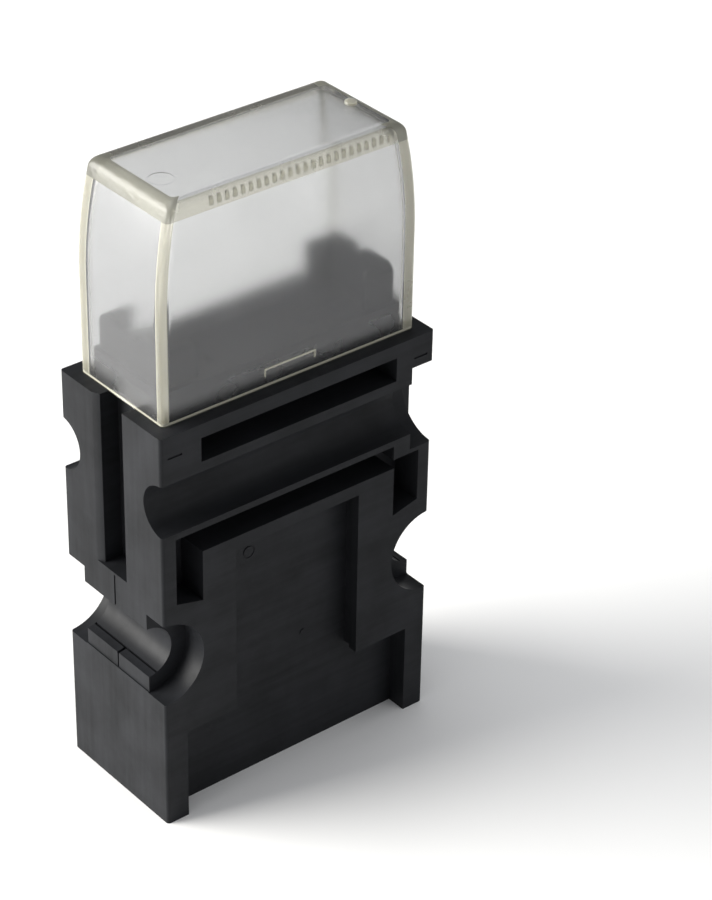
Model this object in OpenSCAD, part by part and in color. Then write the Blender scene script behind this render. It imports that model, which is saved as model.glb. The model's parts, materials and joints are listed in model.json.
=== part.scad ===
/* [Fuse] */
// Width of the blade fuse's body
fuse_w = 29.2; // [28.6:0.1:29.6]
// Thickness of the blade fuse's body
fuse_t = 8.9; // [8.5:0.1:9.2]
// Width of one fuse blade
blade_w = 8; // [7:0.1:8]
// Thickness of one fuse blade
blade_t = 0.8; // [0.6:0.1:1]
// Distance between the centres of the two blades
blade_pitch = 20.6; // [20.2:0.1:20.8]
// Clearance on each side of the fuse body in its seat
seat_slip = 0.15; // [0.1:0.05:0.25]
// Clearance round each blade in its slot
blade_slip = 0.25; // [0.15:0.05:0.4]

/* [Housing] */
// Width of the housing
body_w = 38; // [37.8:0.1:40]
// Depth of the housing from front to back
body_d = 18.5; // [18.2:0.1:22]
// Height of the housing up to the face that carries the cover
body_h = 52; // [51.5:0.5:56]
// Radius of the housing's upright edges
edge_r = 0.4; // [0.2:0.1:1.2]

/* [Fuse seat] */
// Height of the collar round the fuse above the housing's top face
collar_h = 3.5; // [3:0.25:5]
// Depth of the fuse seat inside the collar
seat_depth = 2; // [1:0.25:2.5]
// Thickness of the collar's end walls
collar_end_t = 1.2; // [1:0.05:1.3]
// Thickness of the collar's front and back walls
collar_side_t = 1.5; // [1.2:0.05:1.6]
// Height of the end guides above the housing's top face
guide_h = 8.2; // [6:0.2:11]
// Length of each end guide from front to back
guide_l = 10.8; // [10.4:0.2:12]
// Thickness of the end guides' outer walls
guide_t = 0.8; // [0.6:0.05:1]
// How far each end guide reaches along the fuse's front and back
guide_wrap = 3.2; // [2:0.1:4]
// Radius of the end guides' upper corners
guide_r = 1.3; // [0.5:0.1:2]
// Width of the notch in the left guide
guide_notch_w = 3; // [1.5:0.1:4.5]
// Depth of the notches in the end guides
guide_notch_h = 0.8; // [0.4:0.1:2]
// Width of the notch in the right guide
guide_dip_w = 1.6; // [1:0.1:3]
// Width of the bead that holds the cover
bead_w = 7.4; // [5:0.2:10]
// Height of the bead that holds the cover
bead_h = 0.9; // [0.6:0.1:1.1]
// Height of the flat on the bead's outer side
bead_flat = 0.3; // [0.1:0.1:0.5]
// How far the bead stands proud of the collar
bead_proud = 0.25; // [0.15:0.05:0.3]
// Height of the bead's middle above the housing's top face
bead_z = 2; // [1.6:0.1:2.4]
// How far the bead lies left of the middle
bead_shift = 0.15; // [0:0.05:1]

/* [Screw grooves] */
// Radius of the half-round screw grooves
groove_r = 3.3; // [2.6:0.1:3.5]
// Radius of the wider groove ends for a screw head or nut
head_r = 5.4; // [4.6:0.1:5.4]
// Distance of the front and back grooves below the top face
groove_drop = 9.3; // [9.2:0.1:9.4]
// Length of the wider end of the front and back grooves
head_l = 3.1; // [2:0.1:3.2]
// Height of the side grooves above the base
side_groove_z = 22.3; // [21.5:0.1:22.6]
// Length of each wider end of the side grooves
side_head_l = 3.3; // [2:0.1:4]

/* [Front and back relief] */
// Width of the panel between the two upright slots
panel_w = 27.2; // [26:0.1:28]
// Distance of the upper pocket below the top face
pocket_drop = 1.75; // [1.5:0.05:1.9]
// Height of the upper pocket
pocket_h = 3; // [2.4:0.1:3.2]
// Depth of the upper pocket and of the slots round the panel
pocket_depth = 4; // [3:0.1:4.2]
// Width over both upright slots
frame_w = 34.4; // [33.8:0.1:34.8]
// Wall between a screw groove and the slot below it
groove_lip = 0.8; // [0.5:0.1:1]
// Height of the cross slot over the panel
cross_slot_h = 2.95; // [2.2:0.05:3.2]
// Length of the upright slots below the cross slot, at their outer side
leg_l = 5.6; // [4:0.1:6]
// How much lower the upright slots end at the panel
leg_slope = 0.9; // [0:0.1:1]
// Wall between the screw groove's wide end and the slot below it
head_lip = 0.5; // [0.4:0.1:0.8]
// Width of the slot's corner that passes below the groove's wide end
jog_w = 3.7; // [3.4:0.1:3.8]
// Height of the band along the panel's upper edge
band_h = 1.6; // [1:0.1:3]
// Width of the raised block at the panel's left side
left_block_w = 4.55; // [3:0.05:6]
// Width of the raised block at the panel's right side
right_block_w = 5.15; // [3:0.05:6]
// Height of the blocks' lower ends above the base
block_z = 12; // [8:0.5:15]
// Width of the feet at both sides
foot_w = 2.95; // [2.4:0.05:3.2]
// Depth of the panel's recessed floor
floor_depth = 2.6; // [1.8:0.1:2.8]
// Width of the small step in the blocks' inner sides
step_w = 0.4; // [0.2:0.05:0.8]
// Depth of the small step in the blocks' inner sides
step_depth = 1.25; // [0.6:0.05:1.6]

/* [Mould marks] */
// Depth of the split lines left by the mould
mark_depth = 0.15; // [0.08:0.01:0.2]
// Width of the split lines
mark_w = 0.25; // [0.15:0.05:0.4]
// Length of the short split lines beside the upper pocket
mark_l = 1.9; // [1:0.1:2.4]
// Distance of the short split lines below the top face
mark_drop = 2.7; // [2.2:0.1:3.2]
// Height of the shallow land below each side groove
land_h = 2; // [1.2:0.1:2.4]

/* [Side key] */
// Width of the key slot in the left side
key_slot_w = 4.7; // [4:0.1:6]
// Depth of the key slot
key_slot_depth = 2.8; // [2:0.1:3]
// Length of the key slot down from the top face
key_slot_l = 22; // [16:0.5:23]
// Softened width at the slot's back edge
key_soft_w = 0.9; // [0.3:0.1:1.5]
// Clearance on each side of a neighbour's rail in the slot
key_slip = 0.15; // [0.1:0.05:0.3]

/* [Terminals] */
// Thickness of the terminal's sheet
sheet_t = 0.4; // [0.3:0.05:0.45]
// Thickness of the spring sleeve's sheet
sleeve_t = 0.3; // [0.2:0.05:0.35]
// Width of the spring sleeve
sleeve_w = 9.2; // [9:0.05:9.3]
// Depth of the spring sleeve
sleeve_d = 4.6; // [4.2:0.1:4.8]
// Length of the spring sleeve
sleeve_l = 11.6; // [11:0.1:12.4]
// Clearance on each side of the sleeve in its chamber
sleeve_slip = 0.2; // [0.1:0.05:0.2]
// Gap between the contact leaves at rest
contact_gap = 0.5; // [0.3:0.05:0.7]
// Gap between the contact leaves' edges and the sides of their frame
leaf_slip = 0.3; // [0.2:0.05:0.6]
// Distance of the leaves' contact line below the chamber's roof
touch_drop = 3; // [2.4:0.1:3.6]
// Height of the frame that joins the contact leaves
ring_h = 3; // [2:0.1:3.5]
// Height of the tapered neck under the frame
neck_h = 5.2; // [4:0.1:5.8]
// Outer radius of the barrel for the bare strands
barrel_r = 2.3; // [2:0.05:2.4]
// Length of the barrel for the bare strands
barrel_l = 5.4; // [4:0.1:6]
// Outer radius of the claws round the insulation
claw_r = 2.7; // [2.4:0.05:2.7]
// Length of the claws round the insulation
claw_l = 2.8; // [2:0.1:3.4]
// Gap between the barrel and the claws
claw_gap = 1.1; // [0.6:0.1:1.6]
// Open angle of the barrel
barrel_open = 36; // [20:1:80]
// Open angle of the claws
claw_open = 84; // [40:1:120]
// Width of the lance that locks the sleeve in the housing
lance_w = 2.4; // [1.8:0.1:3]
// Length of the lance
lance_l = 5; // [4:0.1:6]
// Height of the lance's tip above the sleeve's lower end
lance_z = 1.7; // [1.2:0.1:2.4]
// How far the lance's tip springs out
lance_kick = 0.7; // [0.5:0.05:0.8]

/* [Terminal chambers] */
// Depth of the chamber's lower part, where the wire enters
wire_d = 7.2; // [7.2:0.1:8]
// Height of the narrower part of the chamber below the sleeve
ledge_h = 2; // [1:0.5:3]
// Width of the chamfer at each chamber's mouth
mouth_w = 0.5; // [0.3:0.05:0.6]
// Distance of the chamber's roof below the top face
roof_drop = 3.6; // [3:0.1:4.2]

/* [Cover] */
// Width of the cover at its lower edge
cover_w = 34.8; // [34.6:0.1:35.4]
// Depth of the cover at its lower edge
cover_d = 15; // [14.9:0.1:15.4]
// Height of the cover
cover_h = 26; // [20:0.5:40]
// Wall of the cover
cover_wall = 1.1; // [0.8:0.05:1.15]
// Height of the cover's straight lower part
straight_h = 12.5; // [8:0.5:15]
// How far each end of the cover leans in at the top
lean_x = 1.7; // [0.5:0.1:3]
// How far the front and back of the cover lean in at the top
lean_y = 0.3; // [0.1:0.05:1]
// Radius of the cover's upright edges
cover_edge_r = 0.5; // [0.3:0.1:1]
// Radius of the upright edges inside the cover
cover_inner_r = 0.6; // [0.3:0.1:0.8]
// Radius of the cover's upper edges
cover_top_r = 1.1; // [0.8:0.1:2.5]
// Clearance round each bead in the cover's catch
catch_slip = 0.2; // [0.1:0.05:0.3]
// Depth of the catch in the cover's inner face
catch_depth = 0.4; // [0.3:0.05:0.6]
// Radius of the moulding gate left on the cover's top
gate_r = 0.6; // [0.3:0.05:1]
// Height of the moulding gate left on the cover's top
gate_h = 0.35; // [0.2:0.05:0.6]
// Distance of the gate from the right end of the cover's top
gate_in = 2; // [1.8:0.1:6]
// How far the gate lies behind the middle of the cover's top
gate_back = 0.25; // [0:0.25:4.5]

/* [Hidden] */
$fn = 64;
BLACK = [0.13, 0.13, 0.14];
CLEAR = [0.86, 0.86, 0.82, 0.45];
TINNED = [0.78, 0.76, 0.72];
STEEL = [0.6, 0.61, 0.63];
over = 1;
skin = 0.02;
half_w = body_w / 2;
half_d = body_d / 2;
seat_w = fuse_w + 2 * seat_slip;
seat_d = fuse_t + 2 * seat_slip;
collar_w = seat_w + 2 * collar_end_t;
collar_d = seat_d + 2 * collar_side_t;
seat_z = body_h + collar_h - seat_depth;
groove_z = body_h - groove_drop;
cross_top = groove_z - groove_r - groove_lip;
cross_bottom = cross_top - cross_slot_h;
head_slot_top = groove_z - head_r - head_lip;
leg_outer_z = cross_bottom - leg_l;
leg_inner_z = leg_outer_z - leg_slope;
floor_left = left_block_w - panel_w / 2;
floor_right = panel_w / 2 - right_block_w;
rail_w = key_slot_w - 2 * key_slip;
rail_proud = key_slot_depth - key_slip;
rail_l = key_slot_l - 2 * key_slip;
chamber_w = sleeve_w + 2 * sleeve_slip;
chamber_d = sleeve_d + 2 * sleeve_slip;
roof_z = body_h - roof_drop;
sleeve_z = roof_z - sleeve_l;
lance_tip = sleeve_z + lance_z;
lance_root = lance_tip + lance_l;
frame_out_w = sleeve_w - 2 * sleeve_t;
frame_out_d = sleeve_d - 2 * sleeve_t;
leaf_w = frame_out_w - 2 * leaf_slip;
neck_z = sleeve_z - neck_h;
barrel_z = neck_z - barrel_l;
claw_z = barrel_z - claw_gap - claw_l;
inner_top_r = cover_top_r - cover_wall / 2;

module rounded_rect(w, d, r) {
    square([w - 2 * r, d], center = true);
    square([w, d - 2 * r], center = true);
    for (x = [-1, 1], y = [-1, 1])
        translate([x * (w / 2 - r), y * (d / 2 - r)])
            circle(r);
}

module block(x0, x1, y0, y1, z0, z1) {
    translate([x0, y0, z0])
        cube([x1 - x0, y1 - y0, z1 - z0]);
}

module along_x(length) {
    rotate([90, 0, 90])
        linear_extrude(length, center = true)
            children();
}

module along_y(length) {
    rotate([90, 0, 0])
        linear_extrude(length, center = true)
            children();
}

// The collar round the fuse, with its two cover beads
module fuse_collar() {
    block(-collar_w / 2, collar_w / 2, -collar_d / 2, collar_d / 2,
          body_h - over, body_h + collar_h);
    for (side = [-1, 1])
        translate([-bead_shift, side * collar_d / 2, body_h + bead_z])
            along_x(bead_w)
                polygon([
                    [0, bead_h / 2],
                    [side * bead_proud, bead_flat / 2],
                    [side * bead_proud, -bead_flat / 2],
                    [0, -bead_h / 2],
                    [-side * bead_proud, -bead_h / 2],
                    [-side * bead_proud, bead_h / 2],
                ]);
}

// An upright plate with rounded upper corners, standing on the top face
module round_top(w) {
    translate([-w / 2, 0])
        square([w, guide_h - guide_r]);
    translate([guide_r - w / 2, 0])
        square([w - 2 * guide_r, guide_h]);
    for (x = [-1, 1])
        translate([x * (w / 2 - guide_r), guide_h - guide_r])
            circle(guide_r);
}

// One end guide's outline, seen along X and notched in the middle
module guide_outline(notch) {
    difference() {
        round_top(guide_l);
        translate([-notch / 2, guide_h - guide_notch_h])
            square([notch, guide_notch_h + over]);
    }
}

// The right end guide, a wall that wraps round the fuse's corners
module end_guide(notch) {
    in_x = seat_w / 2 - guide_wrap;
    out_x = seat_w / 2 + guide_t;
    round_w = 2 * (out_x + guide_r - in_x);
    intersection() {
        translate([(in_x + out_x) / 2, 0, 0])
            along_x(out_x - in_x)
                guide_outline(notch);
        translate([in_x + round_w / 2, 0, 0])
            along_y(guide_l)
                round_top(round_w);
    }
}

module end_guides() {
    translate([0, 0, body_h]) {
        end_guide(guide_dip_w);
        mirror([1, 0, 0])
            end_guide(guide_notch_w);
    }
}

// Half-round groove along the front face, wider at its right end
module front_groove() {
    translate([0, -half_d, groove_z])
        rotate([0, 90, 0]) {
            cylinder(r = groove_r, h = body_w + 2 * over, center = true);
            translate([0, 0, half_w - head_l])
                cylinder(r = head_r, h = head_l + over);
        }
}

// Half-round groove along the left side, wider at both ends
module side_groove() {
    translate([-half_w, 0, side_groove_z])
        rotate([90, 0, 0]) {
            cylinder(r = groove_r, h = body_d + 2 * over, center = true);
            for (end = [0, 1])
                mirror([0, 0, end])
                    translate([0, 0, half_d - side_head_l])
                        cylinder(r = head_r, h = side_head_l + over);
        }
}

module upper_pocket() {
    block(-panel_w / 2, panel_w / 2, -half_d - over, pocket_depth - half_d,
          body_h - pocket_drop - pocket_h, body_h - pocket_drop);
}

// The slot that runs over the panel and down both of its sides
module panel_slot() {
    translate([0, -half_d, 0])
        along_y(2 * pocket_depth)
            polygon([
                [-frame_w / 2, leg_outer_z],
                [-frame_w / 2, cross_top],
                [frame_w / 2 - jog_w, cross_top],
                [frame_w / 2 - jog_w, head_slot_top],
                [frame_w / 2, head_slot_top],
                [frame_w / 2, leg_outer_z],
                [panel_w / 2, leg_inner_z],
                [panel_w / 2, cross_bottom],
                [-panel_w / 2, cross_bottom],
                [-panel_w / 2, leg_inner_z],
            ]);
}

// The panel's recessed floor, which widens to the feet below the blocks
module panel_floor() {
    top = cross_bottom - band_h;
    block(floor_left, floor_right, -half_d - over, floor_depth - half_d,
          -over, top);
    block(floor_left - step_w, floor_right + step_w,
          step_depth - half_d, floor_depth - half_d, -over, top);
    block(foot_w - half_w, half_w - foot_w, -half_d - over,
          floor_depth - half_d, -over, block_z);
}

// Short split lines beside the upper pocket
module front_marks() {
    for (side = [-1, 1])
        translate([side * (half_w - mark_l), -half_d, body_h - mark_drop])
            cube([mark_l, 2 * mark_depth, mark_w], center = true);
}

// The shallow land and split line beside each side groove
module side_marks() {
    inner = half_d - side_head_l;
    low = side_groove_z - groove_r - land_h;
    high = side_groove_z + head_r + land_h;
    block(-half_w - over, mark_depth - half_w, -inner, inner,
          low, side_groove_z);
    block(-half_w - over, 2 * mark_depth - half_w, -mark_w / 2, mark_w / 2,
          low, side_groove_z);
    block(-half_w - over, mark_depth - half_w, -mark_w / 2, mark_w / 2,
          side_groove_z, high);
}

module key_slot() {
    translate([-half_w, 0, body_h - key_slot_l])
        linear_extrude(key_slot_l + over)
            polygon([
                [-over, -key_slot_w / 2],
                [key_slot_depth, -key_slot_w / 2],
                [key_slot_depth, key_slot_w / 2],
                [key_soft_w / 2, key_slot_w / 2],
                [0, key_slot_w / 2 + key_soft_w],
                [-over, key_slot_w / 2 + key_soft_w],
            ]);
}

module key_rail() {
    block(half_w - over, half_w + rail_proud, -rail_w / 2, rail_w / 2,
          body_h - rail_l, body_h);
}

module fuse_seat() {
    block(-seat_w / 2, seat_w / 2, -seat_d / 2, seat_d / 2,
          seat_z, body_h + guide_h + over);
    for (side = [-1, 1])
        translate([side * blade_pitch / 2, 0, 0]) {
            slot_w = blade_w / 2 + blade_slip;
            slot_t = blade_t / 2 + blade_slip;
            block(-slot_w, slot_w, -slot_t, slot_t, roof_z - over, seat_z + over);
        }
}

// Room for one terminal, open at the base
module chamber() {
    half = chamber_w / 2;
    block(-half, half, -wire_d / 2, wire_d / 2, -over, sleeve_z - ledge_h);
    block(-half, half, -chamber_d / 2, chamber_d / 2, -over, roof_z);
    block(-half - mouth_w, half + mouth_w, -wire_d / 2 - mouth_w,
          wire_d / 2 + mouth_w, -over, mouth_w);
    block(-lance_w / 2 - sleeve_slip, lance_w / 2 + sleeve_slip,
          -sleeve_d / 2 - lance_kick - sleeve_slip, 0,
          lance_tip, lance_root + sleeve_slip);
}

module housing() {
    color(BLACK)
        difference() {
            union() {
                linear_extrude(body_h)
                    rounded_rect(body_w, body_d, edge_r);
                fuse_collar();
                end_guides();
                key_rail();
            }
            for (back = [0, 1])
                mirror([0, back, 0]) {
                    front_groove();
                    upper_pocket();
                    panel_slot();
                    panel_floor();
                    front_marks();
                }
            for (right = [0, 1])
                mirror([right, 0, 0]) {
                    side_groove();
                    side_marks();
                }
            for (side = [-1, 1])
                translate([side * blade_pitch / 2, 0, 0])
                    chamber();
            key_slot();
            fuse_seat();
        }
}

// How far a wall that leans in by "lean" at height h has come in at height z
function lean_at(z, h, lean) =
    let (rise = h - straight_h, arc_r = (rise * rise + lean * lean) / (2 * lean))
    z <= straight_h ? 0 : arc_r - sqrt(arc_r * arc_r - pow(z - straight_h, 2));

// One thin level of the cover's outline, taken in all round by "inset"
module cover_level(z, h, inset, corner_r, thick = skin) {
    w = cover_w - 2 * inset - 2 * lean_at(z, h, lean_x);
    d = cover_d - 2 * inset - 2 * lean_at(z, h, lean_y);
    translate([0, 0, z - thick])
        linear_extrude(thick)
            rounded_rect(w, d, corner_r, $fn = 32);
}

// Straight below, curved inwards above and rounded at the top
module cover_form(inset, low, h, top_r, corner_r) {
    corner_z = h - top_r;
    hull() {
        cover_level(straight_h, h, inset, corner_r, straight_h - low);
        for (share = [0.25:0.25:1])
            cover_level(straight_h + share * (corner_z - straight_h), h, inset,
                        corner_r);
        for (turn = [22.5:22.5:90])
            cover_level(corner_z + top_r * sin(turn), h,
                        inset + top_r * (1 - cos(turn)), corner_r);
    }
}

module cover() {
    color(CLEAR)
        translate([0, 0, body_h]) {
            difference() {
                cover_form(0, 0, cover_h, cover_top_r, cover_edge_r);
                cover_form(cover_wall, -over, cover_h - cover_wall, inner_top_r,
                           cover_inner_r);
                translate([-bead_shift, 0, bead_z])
                    cube([bead_w + 2 * catch_slip,
                          cover_d - 2 * cover_wall + 2 * catch_depth,
                          bead_h + 2 * catch_slip], center = true);
            }
            translate([cover_w / 2 - lean_x - gate_in, gate_back,
                       cover_h - cover_wall / 2])
                cylinder(r = gate_r, h = gate_h + cover_wall / 2);
        }
}

// A split tube round a wire, open towards the front
module claw(r, length, open) {
    reach = 2 * r;
    difference() {
        cylinder(r = r, h = length);
        translate([0, 0, -over])
            cylinder(r = r - sheet_t, h = length + 2 * over);
        translate([0, 0, -over])
            linear_extrude(length + 2 * over)
                polygon([
                    [0, 0],
                    [-reach * sin(open / 2), -reach * cos(open / 2)],
                    [reach * sin(open / 2), -reach * cos(open / 2)],
                ]);
    }
}

// One contact leaf, bent in to the blade and flared at its mouth
module leaf() {
    root_y = frame_out_d / 2 - sheet_t;
    touch_y = contact_gap / 2;
    mouth_y = frame_out_d / 2 - 2 * sheet_t;
    ring_top = sleeve_z + ring_h;
    touch_z = roof_z - touch_drop;
    mouth_z = roof_z - sheet_t;
    along_x(leaf_w)
        polygon([
            [root_y, ring_top - over],
            [root_y, ring_top + over],
            [touch_y, touch_z],
            [mouth_y, mouth_z],
            [mouth_y + sheet_t, mouth_z],
            [touch_y + sheet_t, touch_z],
            [root_y + sheet_t, ring_top + over],
            [root_y + sheet_t, ring_top - over],
        ]);
}

// Tapered channel from the contact frame down to the barrel
module neck() {
    back_y = frame_out_d / 2;
    wide = frame_out_w / 2;
    narrow = barrel_r;
    side_h = frame_out_d - 2 * sheet_t;
    translate([0, back_y - sheet_t / 2, 0])
        along_y(sheet_t)
            polygon([
                [-wide, sleeve_z],
                [wide, sleeve_z],
                [narrow, neck_z],
                [-narrow, neck_z],
            ]);
    for (side = [-1, 1])
        translate([0, back_y - side_h / 2, 0])
            along_y(side_h)
                polygon([
                    [side * wide, sleeve_z],
                    [side * narrow, neck_z],
                    [side * (narrow - sheet_t), neck_z],
                    [side * (wide - sheet_t), sleeve_z],
                ]);
}

module terminal_at(side) {
    back_y = frame_out_d / 2;
    color(TINNED)
        translate([side * blade_pitch / 2, 0, 0]) {
            translate([0, 0, sleeve_z])
                linear_extrude(ring_h)
                    difference() {
                        square([frame_out_w, frame_out_d], center = true);
                        square([frame_out_w - 2 * sheet_t,
                                frame_out_d - 2 * sheet_t], center = true);
                    }
            for (back = [0, 1])
                mirror([0, back, 0])
                    leaf();
            neck();
            translate([0, back_y - barrel_r, barrel_z])
                claw(barrel_r, barrel_l, barrel_open);
            translate([0, back_y - claw_r, claw_z])
                claw(claw_r, claw_l, claw_open);
            block(-barrel_r / 2, barrel_r / 2, back_y - sheet_t, back_y,
                  claw_z + claw_l - over, neck_z);
        }
}

module spring_sleeve_at(side) {
    front_y = -sleeve_d / 2;
    color(STEEL)
        translate([side * blade_pitch / 2, 0, 0]) {
            difference() {
                translate([0, 0, sleeve_z])
                    linear_extrude(sleeve_l)
                        difference() {
                            square([sleeve_w, sleeve_d], center = true);
                            square([frame_out_w, frame_out_d], center = true);
                        }
                block(-lance_w / 2 - sleeve_slip, lance_w / 2 + sleeve_slip,
                      front_y - over, front_y + sleeve_t, lance_tip, lance_root);
            }
            along_x(lance_w)
                polygon([
                    [front_y + sleeve_t, lance_root + sleeve_t],
                    [front_y, lance_root + sleeve_t],
                    [front_y - lance_kick, lance_tip],
                    [front_y - lance_kick + sleeve_t, lance_tip],
                ]);
        }
}

module terminal_left() {
    terminal_at(-1);
}

module terminal_right() {
    terminal_at(1);
}

module spring_sleeve_left() {
    spring_sleeve_at(-1);
}

module spring_sleeve_right() {
    spring_sleeve_at(1);
}

housing();
cover();
terminal_left();
terminal_right();
spring_sleeve_left();
spring_sleeve_right();
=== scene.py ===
"""Studio view of a holder for a large blade fuse: a black moulded housing under a frosted clear cover.

Every length in the classes below is in millimetres, unless it says metres. The origin is the centre of the
housing's base, +Z is up and -Y is the front.
"""

import json
import logging
import math
from collections.abc import Callable, Iterable
from dataclasses import dataclass, field
from enum import Enum

import bmesh
import bpy
from mathutils import Matrix, Vector

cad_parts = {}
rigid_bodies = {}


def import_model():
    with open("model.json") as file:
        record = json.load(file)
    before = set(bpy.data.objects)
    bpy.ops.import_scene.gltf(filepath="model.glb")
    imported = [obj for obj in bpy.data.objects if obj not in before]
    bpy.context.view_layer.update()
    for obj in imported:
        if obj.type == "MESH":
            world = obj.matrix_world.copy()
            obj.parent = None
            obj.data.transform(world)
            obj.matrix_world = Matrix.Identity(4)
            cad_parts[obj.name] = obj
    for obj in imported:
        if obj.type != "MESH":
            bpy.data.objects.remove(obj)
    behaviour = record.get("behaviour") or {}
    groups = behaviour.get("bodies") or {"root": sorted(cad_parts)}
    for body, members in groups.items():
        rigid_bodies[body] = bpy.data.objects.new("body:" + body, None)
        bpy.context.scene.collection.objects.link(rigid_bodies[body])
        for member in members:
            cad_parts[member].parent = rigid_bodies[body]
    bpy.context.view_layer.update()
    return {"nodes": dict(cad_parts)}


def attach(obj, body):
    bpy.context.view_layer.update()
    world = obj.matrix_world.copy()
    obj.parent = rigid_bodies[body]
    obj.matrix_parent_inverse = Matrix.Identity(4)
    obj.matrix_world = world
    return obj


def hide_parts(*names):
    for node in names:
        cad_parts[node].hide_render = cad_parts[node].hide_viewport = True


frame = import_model()

LOG = logging.getLogger("fuse_holder")
MM_PER_M = 1000.0
MERGE_MM = 0.001  # points of a copied mesh that lie closer than this become one
FLAT_DEG = 0.4  # faces that meet at less than this become one flat face
SMOOTH_DEG = 32.0  # edges that turn by less than this are shaded smooth
TOUCH_MM = 0.01  # keeps two small solids' faces out of one plane, and tells a rod's end from its side
ROD_SIDES = 48
Colour = tuple[float, float, float, float]
Triple = tuple[float, float, float]
Values = dict[str | int, object]
Wires = dict[str | int, bpy.types.NodeSocket]


class Body(Enum):
    """The two bodies that the pieces ride on."""

    HOLDER = "holder"
    LID = "lid"


class Slot(Enum):
    """The record's material slots."""

    BLACK = "black_moulded_plastic"
    CLEAR = "clear_frosted_plastic"
    TINNED = "tinned_copper_alloy"
    SPRING = "spring_steel"


def mm(value: float) -> float:
    """Turn millimetres into metres."""
    return value / MM_PER_M


def linear(code: str) -> Colour:
    """Turn an sRGB hex colour into a linear one, by the sRGB standard's curve.

    Args:
        code: Six hex digits, such as "1e1f21".

    Returns:
        Linear red, green and blue, and an alpha of one.
    """
    parts = [int(code[i : i + 2], 16) / 255 for i in (0, 2, 4)]
    r, g, b = (c / 12.92 if c <= 0.04045 else ((c + 0.055) / 1.055) ** 2.4 for c in parts)
    return (r, g, b, 1.0)


def grey(value: float) -> Colour:
    """A plain grey for ramps that carry numbers."""
    return (value, value, value, 1.0)


def add_node(tree: bpy.types.NodeTree, kind: str, links: Wires | None = None, values: Values | None = None,
             stops: Iterable[tuple[float, Colour]] = (), **settings: object) -> bpy.types.Node:
    """Add one shader node with its settings, socket values and links.

    Args:
        tree: The node tree to add to.
        kind: The node's type, without the leading "ShaderNode".
        links: Input socket name or number to the output socket that feeds it.
        values: Input socket name or number to a plain value.
        stops: Position and colour of a colour ramp's two stops.
        **settings: Attributes set on the node itself.

    Returns:
        The new node.
    """
    node = tree.nodes.new("ShaderNode" + kind)
    for name, value in settings.items():
        setattr(node, name, value)
    for number, (place, colour) in enumerate(stops):
        node.color_ramp.elements[number].position = place
        node.color_ramp.elements[number].color = colour
    for name, value in (values or {}).items():
        node.inputs[name].default_value = value
    for name, source in (links or {}).items():
        tree.links.new(source, node.inputs[name])
    return node


def blank_material(name: str, values: Values) -> tuple[bpy.types.Material, bpy.types.NodeTree, bpy.types.Node]:
    """Make a material with one Principled shader wired to its output.

    Args:
        name: The material's name.
        values: The shader's socket names to their plain values.

    Returns:
        The material, its node tree and its Principled shader.
    """
    material = bpy.data.materials.new(name)
    material.use_nodes = True
    tree = material.node_tree
    tree.nodes.clear()
    shader = add_node(tree, "BsdfPrincipled", values=values)
    add_node(tree, "OutputMaterial", {"Surface": shader.outputs["BSDF"]})
    return material, tree, shader


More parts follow.
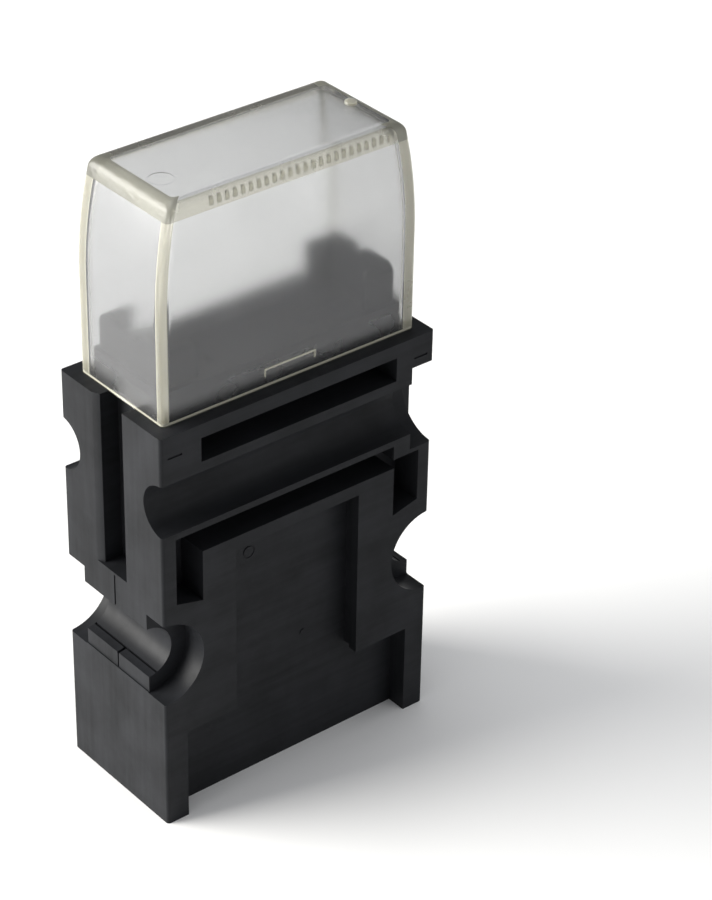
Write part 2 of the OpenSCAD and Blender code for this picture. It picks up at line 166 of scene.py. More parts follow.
@dataclass(frozen=True)
class BlackNylon:
    """Glass-filled black nylon from a spark-eroded mould.

    The eye sees a satin black with a fine grain, soft cloudy patches where the glass lies nearer the skin,
    and faint streaks along the way the melt flowed.
    """

    name: str = "glass_filled_nylon_moulded"
    dark: str = "191a1c"
    pale: str = "232427"
    grain_mm: float = 0.16  # the real spark texture is about 0.05 mm, drawn coarser so that it shows
    grain_depth_mm: float = 0.02
    cloud_mm: float = 9.0
    streak_mm: float = 0.8
    streak_squeeze: float = 0.06  # the pattern's scale along a streak, over its scale across
    streak_share: float = 0.3
    wave_depth_mm: float = 0.05
    colour_range: tuple[float, float] = (0.36, 0.64)  # the mottle's values that are fully dark and fully pale
    sheen_range: tuple[float, float] = (0.35, 0.65)  # the mottle's values that are dullest and glossiest
    roughness: tuple[float, float] = (0.40, 0.55)
    ior: float = 1.53
    specular: float = 0.10

    def build(self) -> bpy.types.Material:
        """Make the material.

        Returns:
            The finished material.
        """
        material, tree, shader = blank_material(self.name, {"IOR": self.ior, "Specular IOR Level": self.specular})
        place = add_node(tree, "TexCoord").outputs["Object"]
        cloud = add_node(tree, "TexNoise", {"Vector": place},
                         {"Scale": 1 / mm(self.cloud_mm), "Detail": 4.0, "Roughness": 0.62}).outputs["Fac"]
        streaks = []
        for stretch in ((self.streak_squeeze, 1.0, 1.0), (1.0, 1.0, self.streak_squeeze)):
            turned = add_node(tree, "Mapping", {"Vector": place}, {"Scale": stretch}).outputs["Vector"]
            streaks.append(add_node(tree, "TexNoise", {"Vector": turned},
                                    {"Scale": 1 / mm(self.streak_mm), "Detail": 3.0, "Roughness": 0.55}).outputs["Fac"])
        # Streaks run across the front and back and up the two ends, so each face picks its own by its normal
        facing = add_node(tree, "SeparateXYZ", {0: add_node(tree, "NewGeometry").outputs["True Normal"]}).outputs["X"]
        on_end = add_node(tree, "Math", {0: facing}, operation="ABSOLUTE").outputs[0]
        streak = add_node(tree, "Mix", {0: on_end, 2: streaks[0], 3: streaks[1]}, data_type="FLOAT").outputs[0]
        grain = add_node(tree, "TexNoise", {"Vector": place},
                         {"Scale": 1 / mm(self.grain_mm), "Detail": 2.0, "Roughness": 0.6}).outputs["Fac"]
        mottle = add_node(tree, "Mix", {2: cloud, 3: streak}, {0: self.streak_share}, data_type="FLOAT").outputs[0]
        colour = add_node(tree, "ValToRGB", {"Fac": mottle},
                          stops=zip(self.colour_range, (linear(self.dark), linear(self.pale))))
        tree.links.new(colour.outputs["Color"], shader.inputs["Base Color"])
        low, high = self.roughness
        rough = add_node(tree, "ValToRGB", {"Fac": mottle}, stops=zip(self.sheen_range, (grey(high), grey(low))))
        tree.links.new(rough.outputs["Color"], shader.inputs["Roughness"])
        bump = add_node(tree, "Bump", {"Height": grain},
                        {"Strength": 0.35, "Distance": mm(self.grain_depth_mm)}).outputs["Normal"]
        wave = add_node(tree, "Bump", {"Height": mottle, "Normal": bump},
                        {"Strength": 0.15, "Distance": mm(self.wave_depth_mm)}).outputs["Normal"]
        tree.links.new(wave, shader.inputs["Normal"])
        return material


@dataclass(frozen=True)
class Styrene:
    """Clear styrene from a mould that is polished at the edges and blasted on the flat faces.

    A polished surface is bright and sharp with a faint straw tint. A blasted one turns what is behind it
    into a soft grey blur that grows with distance. A narrow edge gathers the light of the whole wall, so the
    eye sees it as a pale straw line rather than as clear.
    """

    name: str
    tint: str
    roughness: float = 0.03
    clearness: float = 1.0
    gloss: float = 0.0
    patches: float = 0.0  # how much darker its cloudy patches are
    spread_mm: float = 0.0  # how far light spreads below its surface
    glow: float = 0.0  # stands for the light that a clear wall pipes to its edges
    grain_mm: float = 0.12  # the real blasted grain is about 0.03 mm, drawn coarser so that it shows
    grain_strength: float = 0.0
    grain_flatness: float = 12.0  # a grain's width over its depth
    cloud_mm: float = 6.0
    unevenness: float = 0.12  # the share of its roughness by which the roughness varies
    rough_range: tuple[float, float] = (0.3, 0.7)
    patch_range: tuple[float, float] = (0.35, 0.65)
    spread_shares: Triple = (1.0, 0.95, 0.8)  # how far red, green and blue spread, as shares of spread_mm
    ior: float = 1.57
    specular: float = 0.1
    coat_roughness: float = 0.04

    def build(self) -> bpy.types.Material:
        """Make the material.

        Returns:
            The finished material.
        """
        tint = linear(self.tint)
        values = {"Base Color": tint, "Emission Color": tint, "Emission Strength": self.glow,
                  "Transmission Weight": self.clearness, "IOR": self.ior, "Specular IOR Level": self.specular,
                  "Coat Weight": self.gloss, "Coat Roughness": self.coat_roughness}
        if self.spread_mm:
            values |= {"Subsurface Weight": 1.0, "Subsurface Radius": self.spread_shares,
                       "Subsurface Scale": mm(self.spread_mm)}
        material, tree, shader = blank_material(self.name, values)
        place = add_node(tree, "TexCoord").outputs["Object"]
        cloud = add_node(tree, "TexNoise", {"Vector": place},
                         {"Scale": 1 / mm(self.cloud_mm), "Detail": 3.0, "Roughness": 0.5}).outputs["Fac"]
        spread = self.unevenness * self.roughness
        rough = add_node(tree, "ValToRGB", {"Fac": cloud},
                         stops=zip(self.rough_range, (grey(self.roughness - spread), grey(self.roughness + spread))))
        tree.links.new(rough.outputs["Color"], shader.inputs["Roughness"])
        if self.grain_strength:
            grain = add_node(tree, "TexNoise", {"Vector": place},
                             {"Scale": 1 / mm(self.grain_mm), "Detail": 2.0}).outputs["Fac"]
            depth = mm(self.grain_mm / self.grain_flatness)
            bump = add_node(tree, "Bump", {"Height": grain}, {"Strength": self.grain_strength, "Distance": depth})
            tree.links.new(bump.outputs["Normal"], shader.inputs["Normal"])
        if self.patches:
            dull = tuple(c * (1 - self.patches) for c in tint[:3]) + (1.0,)
            patched = add_node(tree, "ValToRGB", {"Fac": cloud}, stops=zip(self.patch_range, (dull, tint)))
            tree.links.new(patched.outputs["Color"], shader.inputs["Base Color"])
        return material


@dataclass(frozen=True)
class SheetMetal:
    """Rolled strip metal that was stamped and folded.

    The eye sees fine lines along the rolling direction and soft dull patches in the sheen.
    """

    name: str
    base: str
    worn: str
    roughness: tuple[float, float]
    line_mm: float = 0.12
    line_depth_mm: float = 0.01
    line_squeeze: float = 0.05  # the pattern's scale along a line, over its scale across
    patch_mm: float = 2.0
    colour_range: tuple[float, float] = (0.35, 0.6)
    sheen_range: tuple[float, float] = (0.3, 0.7)

    def build(self) -> bpy.types.Material:
        """Make the material.

        Returns:
            The finished material.
        """
        material, tree, shader = blank_material(self.name, {"Metallic": 1.0})
        place = add_node(tree, "TexCoord").outputs["Object"]
        drawn = add_node(tree, "Mapping", {"Vector": place}, {"Scale": (1.0, 1.0, self.line_squeeze)}).outputs["Vector"]
        line = add_node(tree, "TexNoise", {"Vector": drawn},
                        {"Scale": 1 / mm(self.line_mm), "Detail": 2.0}).outputs["Fac"]
        patch = add_node(tree, "TexNoise", {"Vector": place},
                         {"Scale": 1 / mm(self.patch_mm), "Detail": 4.0, "Roughness": 0.6}).outputs["Fac"]
        colour = add_node(tree, "ValToRGB", {"Fac": patch},
                          stops=zip(self.colour_range, (linear(self.worn), linear(self.base))))
        tree.links.new(colour.outputs["Color"], shader.inputs["Base Color"])
        low, high = self.roughness
        rough = add_node(tree, "ValToRGB", {"Fac": patch}, stops=zip(self.sheen_range, (grey(high), grey(low))))
        tree.links.new(rough.outputs["Color"], shader.inputs["Roughness"])
        bump = add_node(tree, "Bump", {"Height": line}, {"Strength": 0.2, "Distance": mm(self.line_depth_mm)})
        tree.links.new(bump.outputs["Normal"], shader.inputs["Normal"])
        return material


@dataclass(frozen=True)
class Paper:
    """Matt white paper roll under the object, almost even in tone."""

    name: str = "matt_white_paper"
    tone: str = "f4f4f4"
    roughness: float = 0.9
    fibre_mm: float = 2.5
    fibre_depth_mm: float = 0.05

    def build(self) -> bpy.types.Material:
        """Make the material.

        Returns:
            The finished material.
        """
        material, tree, shader = blank_material(self.name, {"Base Color": linear(self.tone),
                                                            "Roughness": self.roughness})
        place = add_node(tree, "TexCoord").outputs["Object"]
        fibre = add_node(tree, "TexNoise", {"Vector": place},
                         {"Scale": 1 / mm(self.fibre_mm), "Detail": 3.0}).outputs["Fac"]
        bump = add_node(tree, "Bump", {"Height": fibre}, {"Strength": 0.04, "Distance": mm(self.fibre_depth_mm)})
        tree.links.new(bump.outputs["Normal"], shader.inputs["Normal"])
        return material


BLACK = BlackNylon()
# The large blasted faces: a soft grey blur of what lies behind them
FROSTED = Styrene("styrene_blasted_mould", tint="d6d7da", roughness=0.22, clearness=0.985, patches=0.06,
                  grain_strength=0.12)
# The same low down, where the collar stands close behind: a little milkier, as painted light that lifts the dark zone
# in front of the collar
HAZED = Styrene("styrene_blasted_collar_zone_painted_light", tint="d6d7da", roughness=0.26, clearness=0.955, grain_strength=0.12)
# The two end faces: milkier, and darker as painted shade that holds back the key light falling on the left end
SHADED_END_FACES = Styrene("styrene_blasted_end_face_painted_shade", tint="b2b3b6", roughness=0.22, clearness=0.90, patches=0.06,
                 grain_strength=0.12)
# The inside and the lowest edge: bright and clear
CLEAR = Styrene("styrene_polished_mould", tint="fafaf7")
# The narrow bands along the top's long edges: pale straw, still clear
EDGE = Styrene("styrene_polished_edge", tint="b9b6a5", roughness=0.26, clearness=0.92, gloss=0.25)
# Thin lines along the lip, beside the corners, round the top face and at the catch: bright straw, with a glow that is
# painted light for the light the rim gathers
RIM = Styrene("styrene_light_gathering_rim", tint="cbc9b8", roughness=0.2, clearness=0.4, gloss=0.4, glow=0.06)
# The short ribs seen through the wall: small straw ticks, with a duller, less clear tint as painted shade for the light
# the ribs bend away
RIB = Styrene("styrene_moulded_rib_painted_shade", tint="b9b7a4", roughness=0.2, clearness=0.88)
# The upright corners: soft pale strips that half hide what is behind them; their glow is painted light that stands for
# the light the wall pipes to its corners, so lit and unlit corners read alike
CORNER = Styrene("styrene_polished_corner_painted_glow", tint="aba99b", roughness=0.3, clearness=0.62, gloss=0.3, spread_mm=3.0,
                 glow=0.12)
# The edges of the top's two ends and its corners: darker straw, broken up by small uneven patches; the darker tint is
# painted shade that holds back the key light on the left end, and the glow is painted light that lifts the unlit right
# end
END = Styrene("styrene_polished_end_edge_painted_shade_and_glow", tint="807f74", roughness=0.34, clearness=0.5, patches=0.3, grain_mm=0.7,
              grain_strength=0.9, glow=0.1)
TINNED = SheetMetal("tinned_copper_alloy_strip", "cfccc4", "a8a59c", (0.22, 0.42))
SPRING = SheetMetal("spring_steel_strip", "a3a5a8", "77797c", (0.26, 0.46))
PAPER = Paper()


def let_go() -> None:
    """Deselect every object."""
    for thing in bpy.context.view_layer.objects:
        thing.select_set(False)


def take(obj: bpy.types.Object) -> None:
    """Make one object the only selected and the active one.

    Args:
        obj: The object.
    """
    let_go()
    obj.select_set(True)
    bpy.context.view_layer.objects.active = obj


def apply_modifier(obj: bpy.types.Object, kind: str, **settings: object) -> None:
    """Add a modifier and apply it at once.

    Args:
        obj: The object.
        kind: The modifier's type, such as "SOLIDIFY".
        **settings: Attributes set on the modifier.
    """
    take(obj)
    modifier = obj.modifiers.new(kind.lower(), kind)
    for name, value in settings.items():
        setattr(modifier, name, value)
    bpy.ops.object.modifier_apply(modifier=modifier.name)


def combine(obj: bpy.types.Object, extra: bpy.types.Object, operation: str) -> None:
    """Unite a small solid with an object or take it away, and use it up.

    Args:
        obj: The object.
        extra: The small solid.
        operation: "UNION" or "DIFFERENCE".
    """
    apply_modifier(obj, "BOOLEAN", object=extra, operation=operation, solver="EXACT")
    bpy.data.objects.remove(extra)


def settle(obj: bpy.types.Object) -> None:
    """Put the object's place and size into its mesh, so that it sits at the origin."""
    take(obj)
    bpy.ops.object.transform_apply(location=True, rotation=True, scale=True)


def shade(obj: bpy.types.Object, degrees: float) -> None:
    """Shade an object smooth over every edge that turns by less than the given angle."""
    take(obj)
    bpy.ops.object.shade_smooth_by_angle(angle=math.radians(degrees))


def node_copy(node: str, name: str) -> bpy.types.Object:
    """Copy a CAD node's mesh into a new piece, merge its loose triangles and join its flat faces.

    Args:
        node: The CAD node.
        name: The new piece's name.

    Returns:
        The new object, at the origin.
    """
    obj = bpy.data.objects.new(name, frame["nodes"][node].data.copy())
    bpy.context.scene.collection.objects.link(obj)
    obj.data.name = name
    obj.data.materials.clear()
    take(obj)
    bpy.ops.object.mode_set(mode="EDIT")
    bpy.ops.mesh.select_all(action="SELECT")
    bpy.ops.mesh.remove_doubles(threshold=mm(MERGE_MM))
    bpy.ops.mesh.customdata_custom_splitnormals_clear()
    bpy.ops.mesh.dissolve_limited(angle_limit=math.radians(FLAT_DEG))
    bpy.ops.object.mode_set(mode="OBJECT")
    return obj


def bevel_edges(obj: bpy.types.Object, wanted: Callable[[bmesh.types.BMEdge], bool], width: float,
                segments: int = 2) -> int:
    """Round the edges that a test picks.

    Args:
        obj: The object.
        wanted: Called with each edge of the edit mesh; True picks it.
        width: The bevel's width.
        segments: Faces across the bevel.

    Returns:
        How many edges were picked.
    """
    take(obj)
    bpy.ops.object.mode_set(mode="EDIT")
    bpy.ops.mesh.select_mode(type="EDGE")
    bpy.ops.mesh.select_all(action="DESELECT")
    mesh = bmesh.from_edit_mesh(obj.data)
    count = 0
    for edge in mesh.edges:
        if wanted(edge):
            edge.select_set(True)
            count += 1
    bmesh.update_edit_mesh(obj.data)
    if count:
        bpy.ops.mesh.bevel(offset=mm(width), segments=segments, profile=0.5, affect="EDGES", clamp_overlap=True)
    bpy.ops.object.mode_set(mode="OBJECT")
    return count


def is_sharp(edge: bmesh.types.BMEdge, degrees: float = 30.0) -> bool:
    """Tell whether an edge's two faces meet at more than the given angle."""
    return len(edge.link_faces) == 2 and edge.calc_face_angle(0.0) > math.radians(degrees)


def finish_piece(obj: bpy.types.Object, body: Body, node: str) -> None:
    """Let a piece ride, let it stand for its CAD node, and report it.

    Args:
        obj: The piece.
        body: The body that it rides on.
        node: The CAD node that it stands for.
    """
    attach(obj, body.value)
    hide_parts(node)
    LOG.info("%s: %d faces, rides on %s", obj.name, len(obj.data.polygons), body.value)


def block(low: Triple, high: Triple, soft: float = 0.0) -> bpy.types.Object:
    """Model one small block.

    Args:
        low: Its lowest corner.
        high: Its highest corner.
        soft: The rounding of its edges.

    Returns:
        The block, at the origin.
    """
    let_go()
    bpy.ops.mesh.primitive_cube_add(size=1, location=[mm((a + b) / 2) for a, b in zip(low, high)])
    obj = bpy.context.object
    obj.scale = [mm(b - a) for a, b in zip(low, high)]
    settle(obj)
    if soft:
        bevel_edges(obj, lambda edge: True, soft)
    return obj


def rod(middle: Triple, radius: float, length: float, upright: bool = True) -> bpy.types.Object:
    """Model one small round rod.

    Args:
        middle: Its middle.
        radius: Its radius.
        length: Its length.
        upright: True to run along Z, False to run along Y.

    Returns:
        The rod, at the origin.
    """
    let_go()
    turn = (0.0, 0.0, 0.0) if upright else (math.pi / 2, 0.0, 0.0)
    bpy.ops.mesh.primitive_cylinder_add(vertices=ROD_SIDES, radius=mm(radius), depth=mm(length),
                                        location=[mm(v) for v in middle], rotation=turn)
    obj = bpy.context.object
    settle(obj)
    return obj


@dataclass
class Housing:
    """The black moulding that holds the fuse, the terminals and the screws."""

    body_w: float = 38.0
    body_d: float = 18.5
    edge_w: float = 0.2
    short_edge: float = 0.9  # sharp edges no longer than this aren't rounded
    normal_weight: int = 60
    floor_depth: float = 2.6
    gate_at: tuple[float, float] = (-5.34, 30.72)
    gate_r: float = 0.85
    gate_ring_w: float = 0.2
    pip_at: tuple[float, float] = (2.52, 16.15)
    pip_r: float = 0.4
    mark_h: float = 0.07
    relief_x: float = 1.1
    relief_w: float = 0.28
    relief_z: tuple[float, float] = (18.8, 19.8)
    relief_half_l: float = 5.94
    notch_w: float = 0.35
    notch_in: float = 0.1
    obj: bpy.types.Object | None = None

    def build(self) -> None:
        """Copy the solid and round its long sharp edges as the mould does."""
        self.obj = node_copy("housing", "housing_moulding")
        for side in (-1, 1):
            self.add_gate_marks(side)
            self.cut_relief(side)

        def long_edge(edge: bmesh.types.BMEdge) -> bool:
            """Pick sharp edges that are long enough for the rounding."""
            return is_sharp(edge) and edge.calc_length() > mm(self.short_edge)

        count = bevel_edges(self.obj, long_edge, self.edge_w)
        LOG.info("housing: %d edges rounded", count)
        shade(self.obj, SMOOTH_DEG)
        apply_modifier(self.obj, "WEIGHTED_NORMAL", keep_sharp=True, weight=self.normal_weight)

    def add_gate_marks(self, side: int) -> None:
        """Add the gate's shallow ring and the pip to one recessed panel.

        Each is made with a rod whose middle lies in the panel, so that half of its length is sunk.

        Args:
            side: -1 for the front's panel, 1 for the back's.
        """
        floor_y = self.body_d / 2 - self.floor_depth
        (gate_x, gate_z), (pip_x, pip_z) = self.gate_at, self.pip_at
        gate = (-side * gate_x, side * floor_y, gate_z)
        combine(self.obj, rod(gate, self.gate_r, 2 * self.mark_h, False), "DIFFERENCE")
        combine(self.obj, rod(gate, self.gate_r - self.gate_ring_w, self.mark_h, False), "UNION")
        pip = (-side * pip_x, side * floor_y, pip_z)
        combine(self.obj, rod(pip, self.pip_r, 3 * self.mark_h, False), "UNION")

    def cut_relief(self, side: int) -> None:
        """Cut the slit behind one side groove's lip, and the notch that leads into it.

        Args:
            side: -1 for the left groove, 1 for the right one.
        """
        (low_z, high_z), half_l, half_w = self.relief_z, self.relief_half_l, self.notch_w / 2
        outer, inner = (side * (self.body_w / 2 - self.relief_x - w) for w in (0.0, self.relief_w))
        slit = block((min(outer, inner), -half_l, low_z), (max(outer, inner), half_l, high_z))
        combine(self.obj, slit, "DIFFERENCE")
        mouth = side * (self.body_w / 2 - self.notch_in)
        notch = block((min(mouth, inner), -half_w, low_z), (max(mouth, inner), half_w, high_z))
        combine(self.obj, notch, "DIFFERENCE")

    def dress(self) -> None:
        """Give the moulding its finish."""
        self.obj.data.materials.append(BLACK.build())
        finish_piece(self.obj, Body.HOLDER, "housing")


class Side(Enum):
    """The cover's upright faces, in the order in which an outline passes them."""

    BACK = 0
    LEFT = 1
    FRONT = 2
    RIGHT = 3


class Finish(Enum):
    """The cover's finishes, in the order of its material slots."""

    FROSTED = 0
    EDGE = 1
    CLEAR = 2
    RIM = 3
    RIB = 4
    CORNER = 5
    END = 6
    HAZED = 7
    SHADED_END_FACES = 8


COVER_FINISHES = (FROSTED, EDGE, CLEAR, RIM, RIB, CORNER, END, HAZED, SHADED_END_FACES)  # in the order of Finish


@dataclass
class Cover:
    """The clear cover with blasted faces inside a polished margin.

    Heights count from its lower edge, which lies at base_z.
    """

    base_z: float = 52.0
    width: float = 34.8
    depth: float = 15.0
    height: float = 26.0
    wall: float = 1.1
    straight_h: float = 12.5
    lean_x: float = 1.7
    lean_y: float = 0.3
    lean_steps: int = 7
    edge_r: float = 0.5
    inner_r: float = 0.6
    top_r: float = 1.1
    top_steps: int = 6
    corner_faces: int = 6
    smooth_deg: float = 35.0
    over: float = 1.0  # how far a cutter sticks out of what it cuts
    margin: float = 0.8
    # The wider pale strips at these two corners, where the wall is seen edge-on, are painted light
    far_margin: float = 1.5  # at the front's right end and the left face's rear end
    margin_line: float = 0.1
    gloss_below: float = 1.0
    gloss_front: float = 0.05
    gloss_back: float = 0.9
    gloss_ends: float = 0.05
    front_bands: int = 3  # bands at the top edge over which the front is blasted again
    rim_gap: float = 0.12
    rim_h: float = 0.28
    # Top of the milkier band of painted light above the rim
    haze_h: float = 3.0
    catch_w: float = 7.8
    catch_h: float = 1.3
    catch_z: float = 2.0
    catch_depth: float = 0.4
    bead_shift: float = 0.15
    line_x: tuple[float, float] = (-3.8, 3.3)
    line_z: tuple[float, float] = (1.4, 2.4)
    line_w: float = 0.24
    line_proud: float = 0.1
    line_sunk: float = 0.2
    line_soft: float = 0.06
    gate_x: float = 13.85
    gate_y: float = -0.05
    gate_r: float = 0.7
    gate_h: float = 0.35
    gate_soft: float = 0.16
    gate_soft_faces: int = 3
    mark_at: tuple[float, float] = (-12.9, -1.9)
    mark_r: float = 1.4
    mark_depth: float = 0.06
    rib_count: int = 24
    rib_x: tuple[float, float] = (-10.0, 13.8)
    rib_w: float = 0.5
    rib_l: float = 0.95
    rib_proud: float = 0.22
    rib_sunk: float = 0.3
    rib_up: float = 0.1
    rib_soft: float = 0.08
    obj: bpy.types.Object | None = None

    def lean_at(self, z: float, height: float, lean: float) -> float:
        """Work out how far a wall has come in, when it is straight at first and then curves inwards.

        Args:
            z: The height in question.
            height: The form's whole height.
            lean: How far the wall has come in at that height.

        Returns:
            How far it has come in at z.
        """
        if z <= self.straight_h:
            return 0.0
        rise = height - self.straight_h
        arc_r = (rise * rise + lean * lean) / (2 * lean)
        return arc_r - math.sqrt(arc_r * arc_r - (z - self.straight_h) ** 2)

    def levels(self, height: float, inset: float, top_r: float, low: list[float]) -> list[Triple]:
        """List the heights and half sizes of one form's outline, from its lower edge to its top face.

        Args:
            height: The form's height.
            inset: How far it lies inside the cover's outside.
            top_r: The rounding of its upper edges.
            low: Heights of the levels in its straight part.

        Returns:
            Height, half width and half depth of each level.
        """
        corner_z = height - top_r
        blast_z = corner_z - self.gloss_below
        steps = self.lean_steps
        rows = [(z, inset) for z in low]
        rows += [(self.straight_h + (blast_z - self.straight_h) * (i + 1) / steps, inset) for i in range(steps)]
        rows.append((corner_z, inset))
        for i in range(self.top_steps):
            turn = math.pi / 2 * (i + 1) / self.top_steps
            rows.append((corner_z + top_r * math.sin(turn), inset + top_r * (1 - math.cos(turn))))
        return [(z, self.width / 2 - extra - self.lean_at(z, height, self.lean_x),
                 self.depth / 2 - extra - self.lean_at(z, height, self.lean_y)) for z, extra in rows]

    def ring(self, mesh: bmesh.types.BMesh, z: float, half_w: float, half_d: float, radius: float,
             shift: float = 0.0) -> list[bmesh.types.BMVert]:
        """Add one level's outline, with the borders of the blasted faces beside each corner.

        Args:
            mesh: The mesh to add to.
            z: The level's height above the cover's lower edge.
            half_w: Its half width.
            half_d: Its half depth.
            radius: The rounding of its corners.
            shift: How far its middle lies behind the cover's middle.

        Returns:
            Its vertices, counterclockwise from above. It starts at the corner before the back face.
        """
        points = []
        for side, (sx, sy) in zip(Side, ((1, 1), (-1, 1), (-1, -1), (1, -1))):
            start = math.pi / 2 * side.value
            along = Vector((-math.sin(start), math.cos(start)))
            onward = Vector((-math.cos(start), -math.sin(start)))
            corner = Vector((sx * half_w, sy * half_d))
            before = self.far_margin if side is Side.RIGHT else self.margin
            after = self.far_margin if side is Side.LEFT else self.margin
            points += [corner - along * (before + self.margin_line), corner - along * before]
            for i in range(self.corner_faces + 1):
                turn = start + math.pi / 2 * i / self.corner_faces
                middle = Vector((sx * (half_w - radius), sy * (half_d - radius)))
                points.append(middle + radius * Vector((math.cos(turn), math.sin(turn))))
            points += [corner + onward * after, corner + onward * (after + self.margin_line)]
        return [mesh.verts.new((mm(p.x), mm(p.y + shift), mm(self.base_z + z))) for p in points]

    def form(self, name: str, rings: list[tuple[float, float, float, float, float]]) -> bpy.types.Object:
        """Skin a closed solid over the given levels.

        Args:
            name: The object's name.
            rings: Height, half width, half depth, corner rounding and shift of each level.

        Returns:
            The solid, with its walls' faces first, then its lower face and its top face.
        """
        mesh = bmesh.new()
        loops = [self.ring(mesh, *ring) for ring in rings]
        for below, above in zip(loops, loops[1:]):
            for i in range(len(below)):
                j = (i + 1) % len(below)
                mesh.faces.new((below[i], below[j], above[j], above[i]))
        mesh.faces.new(list(reversed(loops[0])))
        mesh.faces.new(loops[-1])
        data = bpy.data.meshes.new(name)
        mesh.to_mesh(data)
        mesh.free()
        obj = bpy.data.objects.new(name, data)
        bpy.context.scene.collection.objects.link(obj)
        return obj

    def build(self) -> None:
        """Skin the outside, take the inside away, and add the catch, the gate, the mark and the ribs."""
        rows = self.levels(self.height, 0.0, self.top_r,
                           [0.0, self.rim_gap, self.rim_gap + self.rim_h, self.haze_h, self.straight_h])
        rings = [(z, w, d, self.edge_r, 0.0) for z, w, d in rows]
        top_z, top_w, top_d = rows[-1]
        rings.append((top_z, top_w - self.gloss_ends, top_d - (self.gloss_front + self.gloss_back) / 2, self.edge_r,
                      (self.gloss_front - self.gloss_back) / 2))
        self.obj = self.form("cover_moulding", rings)
        for finish in COVER_FINISHES:
            self.obj.data.materials.append(finish.build())
        self.part_faces(len(rings))
        rows = self.levels(self.height - self.wall, self.wall, self.top_r - self.wall / 2,
                           [-self.over, self.straight_h])
        core = self.form("cover_core", [(z, w, d, self.inner_r, 0.0) for z, w, d in rows])
        self.melt(core, Finish.CLEAR, "DIFFERENCE")
        self.cut_catch()
        self.add_catch_line()
        self.add_gate()
        self.cut_mark()
        self.add_ribs()
        shade(self.obj, self.smooth_deg)

    def part_faces(self, levels: int) -> None:
        """Blast the large faces, draw the line round each blasted field and polish the rest.

        Args:
            levels: How many outlines the outside was skinned over.
        """
        per_side = self.corner_faces + 5  # a corner has one more point than faces, and four more beside it
        per_level = len(Side) * per_side
        field_place, line_places = per_side - 1, (0, per_side - 2)
        foot, rim, haze = range(3)  # the three lowest bands
        caps = levels - 1
        polished = caps - self.top_steps - 2  # the band below the top's rounding
        front_again = caps - self.front_bands
        for number, face in enumerate(self.obj.data.polygons):
            level, segment = divmod(number, per_level)
            corner, place = divmod(segment, per_side)
            side = Side(corner)
            on_field = place == field_place
            if number == per_level * caps + 1:
                finish = Finish.FROSTED
            elif level == foot:
                finish = Finish.CLEAR
            elif level in (rim, caps):
                finish = Finish.RIM
            elif on_field and (level < polished or (side is Side.FRONT and level >= front_again)):
                # Both end faces take the darker finish: painted shade against the key light
                plain = Finish.SHADED_END_FACES if side in (Side.LEFT, Side.RIGHT) else Finish.FROSTED
                # The band just above the rim takes the milkier finish: painted light over the collar's shade
                finish = Finish.HAZED if level == haze else plain
            elif level >= polished:
                finish = Finish.EDGE if on_field and side in (Side.BACK, Side.FRONT) else Finish.END
            else:
                finish = Finish.RIM if place in line_places else Finish.CORNER
            face.material_index = finish.value

    def melt(self, extra: bpy.types.Object, finish: Finish, operation: str = "UNION") -> None:
        """Unite a small solid with the cover, or take it away.

        Args:
            extra: The small solid, which is used up.
            finish: The finish of the faces that it leaves.
            operation: "UNION" or "DIFFERENCE".
        """
        for material in self.obj.data.materials:
            extra.data.materials.append(material)
        for face in extra.data.polygons:
            face.material_index = finish.value
        combine(self.obj, extra, operation)

    def bar(self, low: Triple, high: Triple, soft: float = 0.0) -> bpy.types.Object:
        """Model one small bar.

        Args:
            low: The bar's lowest corner, with z from the cover's lower edge.
            high: Its highest corner.
            soft: The rounding of its edges.

        Returns:
            The bar, at the origin.
        """
        return block((low[0], low[1], low[2] + self.base_z), (high[0], high[1], high[2] + self.base_z), soft)

    def disc(self, place: tuple[float, float], radius: float, low: float, high: float) -> bpy.types.Object:
        """Model one small upright disc.

        Args:
            place: X and Y of its axis.
            radius: Its radius.
            low: Height of its lower face above the cover's lower edge.
            high: Height of its upper face.

        Returns:
            The disc, at the origin.
        """
        return rod((place[0], place[1], self.base_z + (low + high) / 2), radius, high - low)

    def cut_catch(self) -> None:
        """Cut the catch for the housing's beads into the inner faces."""
        half_w, half_d = self.catch_w / 2, self.depth / 2 - self.wall + self.catch_depth
        low, high = self.catch_z - self.catch_h / 2, self.catch_z + self.catch_h / 2
        cutter = self.bar((-half_w - self.bead_shift, -half_d, low), (half_w - self.bead_shift, half_d, high))
        self.melt(cutter, Finish.CLEAR, "DIFFERENCE")

    def add_catch_line(self) -> None:
        """Raise the fine line that the catch's insert leaves on the front face."""
        front = -self.depth / 2
        (x0, x1), (z0, z1), w = self.line_x, self.line_z, self.line_w
        outer, inner = front - self.line_proud, front + self.line_sunk
        top = self.bar((x0, outer, z1 - w), (x1, inner, z1), self.line_soft)
        for low_x in (x0, x1 - w):
            leg = self.bar((low_x + TOUCH_MM, outer + TOUCH_MM, z0),
                           (low_x + w - TOUCH_MM, inner - TOUCH_MM, z1 - w / 2), self.line_soft)
            combine(top, leg, "UNION")
        self.melt(top, Finish.RIM)

    def add_gate(self) -> None:
        """Add the stub where the melt entered, broken off on the cover's top."""
        top = self.height + self.gate_h
        stub = self.disc((self.gate_x, self.gate_y), self.gate_r, self.height - self.wall / 2, top)
        limit = mm(self.base_z + top - TOUCH_MM)
        bevel_edges(stub, lambda edge: all(v.co.z > limit for v in edge.verts), self.gate_soft, self.gate_soft_faces)
        # The stub takes the corner finish, whose glow is painted light
        self.melt(stub, Finish.CORNER)

    def cut_mark(self) -> None:
        """Sink the shallow round mark of the mould's pin into the top."""
        pin = self.disc(self.mark_at, self.mark_r, self.height - self.mark_depth, self.height + self.over)
        self.melt(pin, Finish.FROSTED, "DIFFERENCE")

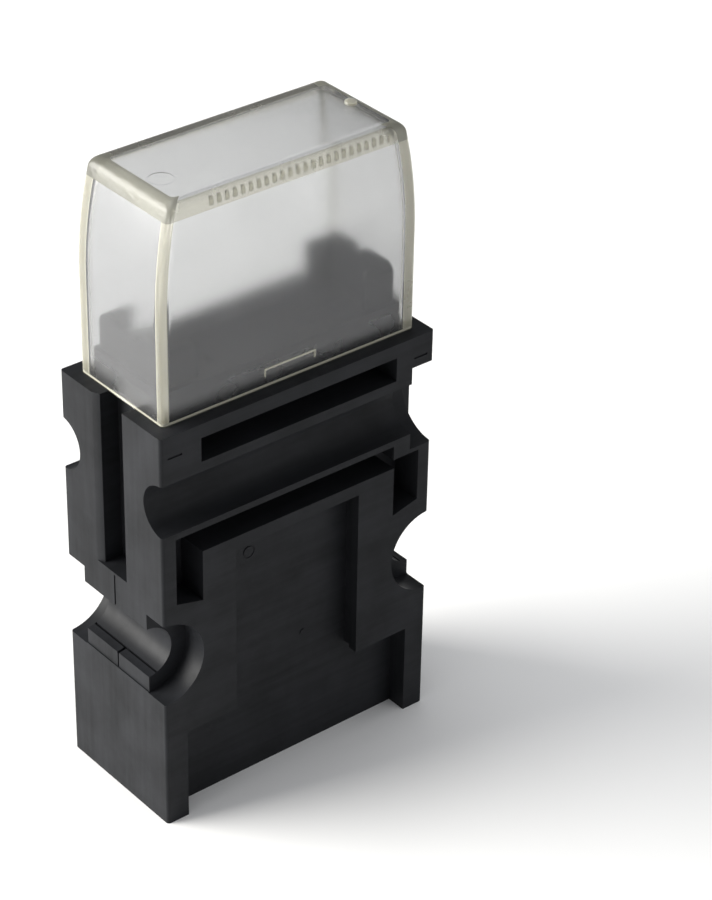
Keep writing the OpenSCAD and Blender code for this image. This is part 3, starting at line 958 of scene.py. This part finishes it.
    def add_ribs(self) -> None:
        """Add the row of short plain ribs inside the upper front edge."""
        z1 = self.height - self.wall
        z0 = z1 - self.rib_l
        inner = self.wall + self.lean_at(z0, self.height, self.lean_y) - self.depth / 2
        start, end = self.rib_x
        bars = []
        for i in range(self.rib_count):
            x = start + (end - start) * i / (self.rib_count - 1)
            bars.append(self.bar((x - self.rib_w / 2, inner - self.rib_sunk, z0),
                                 (x + self.rib_w / 2, inner + self.rib_proud, z1 + self.rib_up), self.rib_soft))
        let_go()
        for obj in bars:
            obj.select_set(True)
        bpy.context.view_layer.objects.active = bars[0]
        bpy.ops.object.join()
        self.melt(bars[0], Finish.RIB)

    def dress(self) -> None:
        """Let the cover ride and stand for the solid."""
        finish_piece(self.obj, Body.LID, "cover")


@dataclass
class Contact:
    """One folded terminal and the spring sleeve round it."""

    side: str
    edge_w: float = 0.05
    sharp_deg: float = 40.0
    short_edge: float = 0.25  # sharp edges no longer than this aren't rounded
    pieces: list[bpy.types.Object] = field(default_factory=list)

    def build(self) -> None:
        """Copy both solids and take the sharpness off the cut edges."""

        def cut_edge(edge: bmesh.types.BMEdge) -> bool:
            """Pick sharp edges that are long enough for the rounding."""
            return is_sharp(edge, self.sharp_deg) and edge.calc_length() > mm(self.short_edge)

        for node, name in (("terminal_", "crimp_terminal_"), ("spring_sleeve_", "locking_sleeve_")):
            obj = node_copy(node + self.side, name + self.side)
            bevel_edges(obj, cut_edge, self.edge_w)
            shade(obj, SMOOTH_DEG)
            self.pieces.append(obj)

    def dress(self, tinned: bpy.types.Material, spring: bpy.types.Material) -> None:
        """Give both pieces their finish.

        Args:
            tinned: The terminal's finish.
            spring: The sleeve's finish.
        """
        terminal, sleeve = self.pieces
        terminal.data.materials.append(tinned)
        sleeve.data.materials.append(spring)
        finish_piece(terminal, Body.HOLDER, "terminal_" + self.side)
        finish_piece(sleeve, Body.HOLDER, "spring_sleeve_" + self.side)


@dataclass(frozen=True)
class Softbox:
    """One square softbox: the place of its centre and its side in metres, its power in watts, and its colour."""

    name: str
    place: Triple
    size: float
    power: float
    tone: str


@dataclass
class Studio:
    """The camera, the paper floor and the soft lights."""

    camera_at: Triple = (-172.3, -224.75, 219.6)
    azimuth: float = -39.9
    elevation: float = 32.54
    roll: float = 1.15
    focal_px: float = 2972.5
    image_w: float = 712.0
    sensor_mm: float = 36.0
    clip_m: tuple[float, float] = (0.01, 50.0)
    floor_m: float = 8.0
    sky: str = "f6f8fb"
    sky_strength: float = 0.38
    aim_m: Triple = (0, 0, 0.035)
    softboxes: tuple[Softbox, ...] = (
        Softbox("left_softbox", (-0.80, 0.53, 0.27), 0.72, 29.0, "fffdf8"),
        Softbox("top_softbox", (-0.10, 0.15, 0.95), 0.60, 3.0, "ffffff"),
        Softbox("front_fill", (0.50, -0.90, 0.45), 0.80, 1.8, "ffffff"),
    )

    def place_camera(self) -> None:
        """Put the camera where the photograph was taken from."""
        a, e, r = (math.radians(v) for v in (self.azimuth, self.elevation, self.roll))
        back = Vector((math.sin(a) * math.cos(e), -math.cos(a) * math.cos(e), math.sin(e)))
        right = (-back).cross(Vector((0, 0, 1))).normalized()
        up = right.cross(-back)
        x_axis = right * math.cos(r) + up * math.sin(r)
        y_axis = up * math.cos(r) - right * math.sin(r)
        turn = Matrix((x_axis, y_axis, back)).transposed().to_4x4()
        data = bpy.data.cameras.new("photo_camera")
        data.sensor_fit = "HORIZONTAL"
        data.sensor_width = self.sensor_mm
        data.lens = self.focal_px / self.image_w * self.sensor_mm
        data.clip_start, data.clip_end = self.clip_m
        camera = bpy.data.objects.new("photo_camera", data)
        camera.matrix_world = Matrix.Translation(Vector(self.camera_at) / MM_PER_M) @ turn
        bpy.context.scene.collection.objects.link(camera)
        bpy.context.scene.camera = camera

    def lay_floor(self) -> None:
        """Lay a wide sheet of white paper under the holder."""
        let_go()
        bpy.ops.mesh.primitive_plane_add(size=self.floor_m, location=(0, 0, 0))
        floor = bpy.context.object
        floor.name = floor.data.name = "paper_floor"
        floor.data.materials.append(PAPER.build())

    def hang(self, box: Softbox) -> None:
        """Hang one softbox so that it faces the holder's middle.

        Args:
            box: The softbox.
        """
        data = bpy.data.lights.new(box.name, "AREA")
        data.shape = "SQUARE"
        data.size = box.size
        data.energy = box.power
        data.color = linear(box.tone)[:3]
        light = bpy.data.objects.new(box.name, data)
        place = Vector(box.place)
        aim = Vector(self.aim_m) - place
        light.matrix_world = Matrix.Translation(place) @ aim.to_track_quat("-Z", "Y").to_matrix().to_4x4()
        bpy.context.scene.collection.objects.link(light)

    def light(self) -> None:
        """Light the holder from the left and behind, with a little light from above and from the front."""
        world = bpy.data.worlds.new("white_studio")
        world.use_nodes = True
        ground = world.node_tree.nodes["Background"]
        ground.inputs["Color"].default_value = linear(self.sky)
        ground.inputs["Strength"].default_value = self.sky_strength
        bpy.context.scene.world = world
        for box in self.softboxes:
            self.hang(box)
        bpy.context.scene.view_settings.view_transform = "Standard"

    def build(self) -> None:
        """Set up camera, floor and light."""
        self.place_camera()
        self.lay_floor()
        self.light()


def main() -> None:
    """Build and dress every piece, then the studio."""
    logging.basicConfig(level=logging.INFO, format="%(name)s: %(message)s")
    housing = Housing()
    housing.build()
    housing.dress()
    cover = Cover()
    cover.build()
    cover.dress()
    tinned, spring = TINNED.build(), SPRING.build()
    for side in ("left", "right"):
        contact = Contact(side)
        contact.build()
        contact.dress(tinned, spring)
    Studio().build()


if __name__ == "__main__":
    main()
